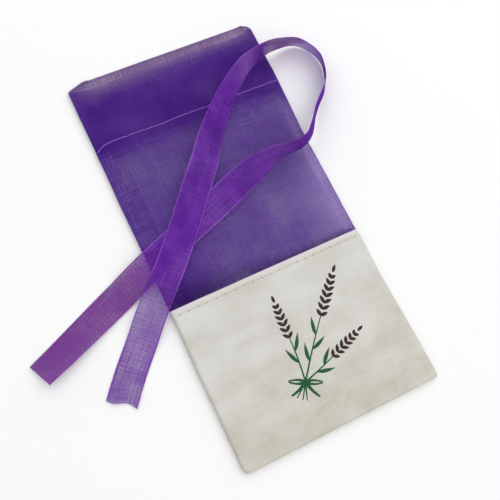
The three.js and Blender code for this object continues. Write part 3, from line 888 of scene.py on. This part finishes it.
def on_stroke(root, heading, length, bend, share):
    turn = Matrix.Rotation(math.radians(heading), 3, "Z")
    place = Vector(root) + turn @ Vector((bend * length * share**2, length * share, 0))
    return place, heading - math.degrees(math.atan(2 * bend * share))


def stroke(bm, root, heading, length, width, bend, outline):
    steps = max(4, round(length / STROKE_STEP))
    strip = bmesh.ops.create_grid(bm, x_segments=2, y_segments=steps, size=0.5)["verts"]
    for vert in strip:
        share = vert.co.y + 0.5
        across = vert.co.x * width * outline(share) + bend * length * share**2
        vert.co = Vector((across, length * share, 0))
    turn = Matrix.Rotation(math.radians(heading), 3, "Z")
    bmesh.ops.rotate(bm, cent=(0, 0, 0), matrix=turn, verts=strip)
    bmesh.ops.translate(bm, vec=root, verts=strip)
    return on_stroke(root, heading, length, bend, 1.0)


def flower_head(bm, root, heading, rows, bud):
    ahead = Matrix.Rotation(math.radians(heading), 3, "Z") @ Vector((0, 1, 0))
    for row in range(rows):
        up = row / (rows - 1)
        place = Vector(root) + ahead * (0.80 * bud * row)
        size = bud * (0.92 + 0.16 * math.sin(math.pi * up)) * (1.0 - 0.25 * up**2)
        for side in (-1, 1):
            aim = heading + side * (40 - 1.2 * row)
            stroke(bm, place, aim, size, 0.46 * bud, -side * 0.10, bud_outline)
    tip = Vector(root) + ahead * (0.80 * bud * rows)
    stroke(bm, tip, heading, 0.95 * bud, 0.42 * bud, 0.0, bud_outline)


def inked(name, bm, material, lift):
    bmesh.ops.transform(bm, matrix=PRINT_PLACE, verts=bm.verts)
    mark_cut(bm)
    for vert in bm.verts:
        vert.co = pocket_place(FRONT, vert.co.x, vert.co.y, COTTON_THICK / 2 + lift)
    return finished(name, bm, material, INK_THICK)


# Heading, length and bend of the stem, rows and size of its buds, and each leaf's place and side.
SPRIGS = [
    (-12, 27.0, 0.05, 7, 3.4, ((0.30, 1), (0.48, -1), (0.70, 1))),
    (16, 18.0, -0.06, 6, 3.1, ((0.42, 1), (0.68, -1))),
    (-50, 15.0, -0.04, 6, 3.1, ((0.40, -1), (0.66, 1))),
]
stems, heads = bmesh.new(), bmesh.new()
for heading, length, bend, rows, bud, leaves in SPRIGS:
    tip, aim = stroke(stems, TIE, heading, length, STEM_WIDE, bend, stem_outline)
    flower_head(heads, tip, aim, rows, bud)
    stroke(stems, TIE, 176 + 0.5 * heading, STEM_END, STEM_WIDE, 0.0, stem_outline)
    for share, side in leaves:
        place, aim = on_stroke(TIE, heading, length, bend, share)
        stroke(stems, place, aim + 36 * side, LEAF_LONG, LEAF_WIDE, 0.14 * side, leaf_outline)
# The bow has four loop strokes and two tails.
for side in (-1, 1):
    for up in (-1, 1):
        stroke(stems, TIE, side * (90 - 28 * up), 6.0, 1.3, -0.5 * side * up, stem_outline)
    stroke(stems, TIE, 146 * side, 7.5, 1.5, 0.2 * side, stem_outline)
print_greens = inked("print_greens", stems, green_ink, GREEN_LIFT)
print_flowers = inked("print_flowers", heads, plum_ink, PLUM_LIFT)

# %% [markdown]
# Dried lavender buds fill the pocket. They are small rough grains, narrower at one end, and they are
# seen only through the mouth, so each is a ball of thirty faces, stretched and turned at random with
# a fixed seed.

# %% Fill the pocket with buds
BUD_COUNT, BUD_WIDE, BUD_LONG, BUD_TAPER, BUD_TILT = 340, 1.1, 2.6, 0.16, 14
FROM_SEAMS, FROM_CLOTH = 1.9, 0.75
dried, tree, shader = new_material("dried_buds", 0.9, Specular_IOR_Level=0.15)
where = node(tree, "ShaderNodeTexCoord").outputs["Object"]
patches = node(tree, "ShaderNodeTexNoise", {"Vector": where, "Scale": 420.0, "Detail": 3.0})
grit = node(tree, "ShaderNodeTexNoise", {"Vector": where, "Scale": 2600.0, "Detail": 1.0})
faded = spread(tree, patches.outputs["Fac"], 0.35, 0.65)
colour = mixed(tree, faded, (0.11, 0.085, 0.19), (0.25, 0.22, 0.24))
tree.links.new(colour, shader.inputs["Base Color"])
bumped(tree, shader, grit.outputs["Fac"], 0.15)

fill_low, fill_high = box_mm("lavender_filling")
margins = (FROM_SEAMS, FROM_SEAMS, FROM_CLOTH)
chance = random.Random(7)
bm = bmesh.new()
for _ in range(BUD_COUNT):
    grain = bmesh.ops.create_uvsphere(bm, u_segments=6, v_segments=5, radius=0.5)["verts"]
    bmesh.ops.scale(bm, vec=(BUD_WIDE, BUD_WIDE, BUD_LONG + chance.random()), verts=grain)
    for vert in grain:
        vert.co.xy *= 1.0 - BUD_TAPER * vert.co.z
    tilt = math.radians(90 + chance.uniform(-BUD_TILT, BUD_TILT))
    turn = Euler((tilt, 0, chance.uniform(0, math.tau))).to_matrix()
    bmesh.ops.rotate(bm, cent=(0, 0, 0), matrix=turn, verts=grain)
    place = [chance.uniform(low + gap, high - gap) for low, high, gap in zip(fill_low, fill_high, margins)]
    bmesh.ops.translate(bm, vec=place, verts=grain)
for face in bm.faces:
    face.smooth = True
buds = finished("lavender_buds", bm, dried)

# %% [markdown]
# The ribbon is a strip of organza with firm woven edges. It is laid along a route of stops, the same
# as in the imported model: flat on the table, over the pouch, up on its edge round the loop, turned
# over and back across itself. A smooth curve joins the stops, and the flat strip is carried along it
# row by row.

# %% Lay out the ribbon's route
RIBBON_WIDE, RIBBON_THICK, RIBBON_CELL = 12.0, 0.14, 1.0
RIBBON_HALF = RIBBON_WIDE / 2
STEPS = 24
ON_TABLE, ON_POUCH, OVER = 0.2, 3.7, 4.4
LEFT, RIGHT = -HALF, HALF
# Place across, place along from the bottom seam, height of the lower edge, and roll in degrees.
ROUTE = [
    (LEFT - 53.5, 65, ON_TABLE, -26), (LEFT - 42.5, 69.5, ON_TABLE, -17),
    (LEFT - 26, 76.5, ON_TABLE, -6), (LEFT - 15, 81, ON_TABLE + 0.6, 0),
    (LEFT - 4.5, 85, ON_POUCH, 0), (LEFT + 3, 88, ON_POUCH, 0),
    (-27.5, 92.5, ON_POUCH, 0), (-10.5, 98.5, ON_POUCH, 0),
    (8, 105, ON_POUCH, 24), (20, 107.5, ON_POUCH, 68),
    (29.5, 108, ON_POUCH, 90), (RIGHT - 5, 109, ON_POUCH, 85),
    (RIGHT, 112.5, ON_POUCH, 75), (RIGHT + 6, 119.5, ON_TABLE + 2, 79),
    (RIGHT + 11, 124.5, ON_TABLE + 0.5, 83), (RIGHT + 16.5, 130, ON_TABLE, 81),
    (RIGHT + 19.5, 136.5, ON_TABLE, 77), (RIGHT + 20.5, 142.5, ON_TABLE, 74),
    (RIGHT + 18, 149.5, ON_TABLE, 71), (RIGHT + 13.5, 153, ON_TABLE + 1, 72),
    (RIGHT + 5, 154, ON_TABLE + 2.6, 83), (RIGHT - 1.5, 153.5, ON_POUCH, 90),
    (30.5, 150.5, ON_POUCH, 108), (22.5, 145.5, ON_POUCH, 120),
    (12, 136.5, ON_POUCH, 132), (2, 126, ON_POUCH, 148),
    (-4.5, 117.5, OVER + 1, 160), (-13, 108, OVER + 0.6, 172),
    (-23, 96.5, OVER, 180), (-33.5, 85, OVER, 180),
    (LEFT + 1.5, 77.5, OVER, 180), (LEFT - 7, 69, OVER, 180),
    (LEFT - 15, 60.5, ON_TABLE + 0.6, 180), (LEFT - 23, 52, ON_TABLE, 180),
    (LEFT - 30.5, 43, ON_TABLE, 180),
]


def stop_middle(x, y, low, roll):
    roll = math.radians(roll)
    rise = RIBBON_HALF * abs(math.sin(roll)) + 0.15 * abs(math.cos(roll))
    return Vector((x, y + BOTTOM, low + rise))


def between_stops(stops, i, share):
    here, ahead = stops[i], stops[i + 1]
    before = stops[i - 1] if i else 2 * here - ahead
    after = stops[i + 2] if i + 2 < len(stops) else 2 * ahead - here
    a, b, c = (math.sqrt((q - p).length) for p, q in ((before, here), (here, ahead), (ahead, after)))
    leave_at = ((here - before) / a - (ahead - before) / (a + b) + (ahead - here) / b) * b
    reach_at = ((ahead - here) / b - (after - here) / (b + c) + (after - ahead) / c) * b
    s2, s3 = share**2, share**3
    start = here * (2 * s3 - 3 * s2 + 1) + leave_at * (s3 - 2 * s2 + share)
    return start + ahead * (3 * s2 - 2 * s3) + reach_at * (s3 - s2)


stops = [stop_middle(*stop) for stop in ROUTE]
line, rolls = [], []
for i in range(len(ROUTE) - 1):
    for step in range(STEPS):
        line.append(between_stops(stops, i, step / STEPS))
        rolls.append(ROUTE[i][3] + (ROUTE[i + 1][3] - ROUTE[i][3]) * step / STEPS)
line.append(stops[-1])
rolls.append(ROUTE[-1][3])
travelled = [0.0]
for before, after in zip(line, line[1:]):
    travelled.append(travelled[-1] + (after - before).length)
RIBBON_LONG = travelled[-1]
print("ribbon", round(RIBBON_LONG, 1), "mm long")

# %% [markdown]
# Each row of the strip is set square to the route and rolled about it. Slow ripples keep it from
# looking pressed, and the selvedges are a little denser than the middle, with a painted highlight
# along them away from the tails. The second tail is thinner where the lamp shines across it, and
# the cloth that stands on its edge is denser.

# %% Lay the ribbon
SELVEDGE_CUTS = (0.25, 0.6)
# The stop where light falls, its reach along the ribbon, and its amount.
LIGHT_PATCHES = [
    (2, 8, 0.20), (7.0, 8, 0.32), (9.4, 8, 0.34), (17.6, 7, 0.50),
    (22, 6.5, 0.88), (26.2, 4.5, 0.12), (29, 11, 0.12), (32, 9, 0.20),
]
first_run = line[:8 * STEPS:4]


def past_stop(travel, stop):
    return travel - travelled[round(stop * STEPS)]


def smooth_roll(i):
    near = rolls[max(0, i - STEPS // 2):i + STEPS // 2 + 1]
    return math.radians(sum(near) / len(near))


def ribbon_place(u, travel, i):
    share = (travel - travelled[i]) / max(travelled[i + 1] - travelled[i], 1e-6)
    middle = line[i].lerp(line[i + 1], share)
    ahead = (line[min(i + 3, len(line) - 1)] - line[max(i - 2, 0)]).normalized()
    left = Vector((0, 0, 1)).cross(ahead).normalized()
    up = ahead.cross(left)
    roll = smooth_roll(i)
    wide = left * math.cos(roll) + up * math.sin(roll)
    tail = eased((travel - RIBBON_LONG + 16) / 16)
    lift = max(0.0, 0.5 * noise.noise(Vector((travel / 13, u / 9, 4.0))))
    lift += 0.7 * tail * (0.5 + 0.5 * math.sin(u * 0.7 + 0.6)) + 0.25 * tail
    cut_slant = 0.7 * tail * math.sin(0.55 * u - 0.4)
    return middle + wide * u + ahead * cut_slant + Vector((0, 0, lift))


def ribbon_tone(u, travel, roll, place):
    selvedge = eased((abs(u) - RIBBON_HALF + 0.75) / 0.4)
    first_tail = 1 - eased((travel - 50) / 14)
    second_tail = eased((travel - RIBBON_LONG + 54) / 12)
    curled_tip = 1 - eased(travel / 32)
    loop_top = eased((place.x - HALF + 5) / 6) * eased(past_stop(travel, 16) / 12)
    loop_glow = loop_top * eased(past_stop(travel, 18) / 12)
    turned = math.degrees(roll)
    standing = eased((math.sin(roll) - 0.5) / 0.35)
    leaning = eased((turned - 90) / 14) * (1 - eased((turned - 112) / 12))
    doubled = 0.0
    if travel > RIBBON_LONG / 2:
        away = min((place.xy - spot.xy).length for spot in first_run)
        doubled = eased((RIBBON_HALF + 0.3 - away) / 0.8)
    thin = 0.27 * second_tail - 0.05 * first_tail - 0.22 * curled_tip - 0.5 * selvedge - 0.2 * doubled
    thin -= 0.65 * standing * (1 - leaning) * (1 - 0.56 * loop_top)
    thin += 0.22 * bell(past_stop(travel, 17.5), 7) - 0.35 * bell(past_stop(travel, 22), 9)
    # Painted highlights on the selvedges and under the lamp, painted shade where it is doubled.
    lit = 0.42 * selvedge * (1 - max(first_tail, second_tail)) * (1 - 0.8 * standing)
    lit += sum(amount * bell(past_stop(travel, stop), reach) for stop, reach, amount in LIGHT_PATCHES)
    lit += 0.08 * second_tail + 0.75 * loop_top - 0.2 * doubled
    # Painted light from the table glows through both tails and the loop.
    return thin, lit, 0.55 * first_tail + 0.14 * second_tail + 0.50 * loop_glow


edges = both_sides([RIBBON_HALF - cut for cut in SELVEDGE_CUTS])
ends = (SELVEDGE_CUTS[0], RIBBON_LONG - SELVEDGE_CUTS[0])
bm = flat_cut(-RIBBON_HALF, RIBBON_HALF, 0.0, RIBBON_LONG, RIBBON_CELL, edges, ends)
clear, catch, glow = tone_layers(bm)
for vert in bm.verts:
    u, travel = vert.co.x, vert.co.y
    i = 0
    while i + 2 < len(line) and travelled[i + 1] < travel:
        i += 1
    place = ribbon_place(u, travel, i)
    vert[clear], vert[catch], vert[glow] = ribbon_tone(u, travel, smooth_roll(i), place)
    vert.co = place
ribbon = finished("ribbon_strip", bm, ribbon_cloth, RIBBON_THICK)

# %% [markdown]
# Last, the pieces of the back and the buds are tied to the pouch's back, and the ribbon to its own
# body. The front of the pouch swings open about the bottom seam, but its sides stay sewn to the
# back. Each point of a front piece is put for a moment at a distance that grows quickly next to the
# side and slowly in the middle, the shape of a round arch; the piece's transform is baked, and then
# the point goes back.

# %% Tie the back's pieces and the ribbon to their bodies
def opens_with_mouth(piece):
    kept = [vert.co.copy() for vert in piece.data.vertices]
    for vert in piece.data.vertices:
        inward = max(0.0, 1 - abs(vert.co.x) / (HALF * MM))
        vert.co = (HALF * MM * math.sqrt(inward), 0, 0)
    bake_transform(piece)
    for vert, place in zip(piece.data.vertices, kept):
        vert.co = place
    piece.data.update()


for piece in (pocket_front, sheer_front, front_join, front_hem, print_greens, print_flowers):
    opens_with_mouth(piece)
for piece in (pocket_back, sheer_back, back_join, back_hem, left_seam, right_seam, bottom_seam, buds):
    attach(piece, "pouch_back")
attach(ribbon, "ribbon")
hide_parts("front_cotton_panel")
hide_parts("back_cotton_panel")
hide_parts("front_organza_panel")
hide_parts("back_organza_panel")
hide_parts("front_join_thread")
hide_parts("back_join_thread")
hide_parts("front_hem_thread")
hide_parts("back_hem_thread")
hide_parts("left_seam_thread")
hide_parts("right_seam_thread")
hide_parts("bottom_seam_thread")
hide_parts("lavender_filling")
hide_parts("tie_ribbon")

# %% [markdown]
# The cloth may stand a little proud of the imported solids. Both boxes are printed.

# %% Print both boxes and finish
made_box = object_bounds()
sizes = {"cad": [list(corner) for corner in cad_box], "visual": [list(corner) for corner in made_box]}
for name, corners in sizes.items():
    print(name, "box", [[round(part, 4) for part in corner] for corner in corners])
